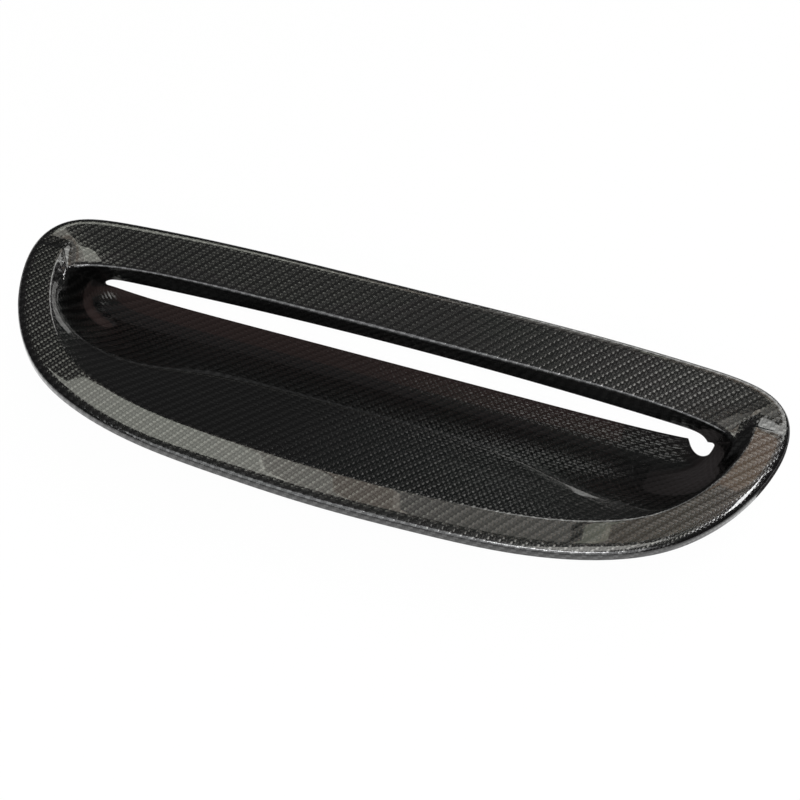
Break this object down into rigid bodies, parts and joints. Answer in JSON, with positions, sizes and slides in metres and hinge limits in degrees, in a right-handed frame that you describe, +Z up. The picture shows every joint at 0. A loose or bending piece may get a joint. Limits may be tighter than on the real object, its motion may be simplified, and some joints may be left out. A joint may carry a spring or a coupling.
{
  "type": "hood air intake cover",
  "caption": "Shallow carbon fibre shell with a rounded rim, a dished ramp falling to a long slot and a turned-down lip, fixed over an opening in a car's hood to lead air through it.",
  "frame": {"origin": "centre of the cover in plan, midway between its ends and its front and rear edges, on the plane of the rim's flat bottom edge, which lies on the hood", "axes": "+X along the cover's length to its right end, +Y from the front edge to the rear edge where the slot is, +Z up out of the hood"},
  "size_m": [0.48, 0.168, 0.0458],
  "materials": {
    "carbon_laminate": "black twill carbon fibre laminate under a clear gloss coat"
  },
  "bodies": {
    "root": {"intake_cover": "carbon_laminate"}
  },
  "joints": []
}
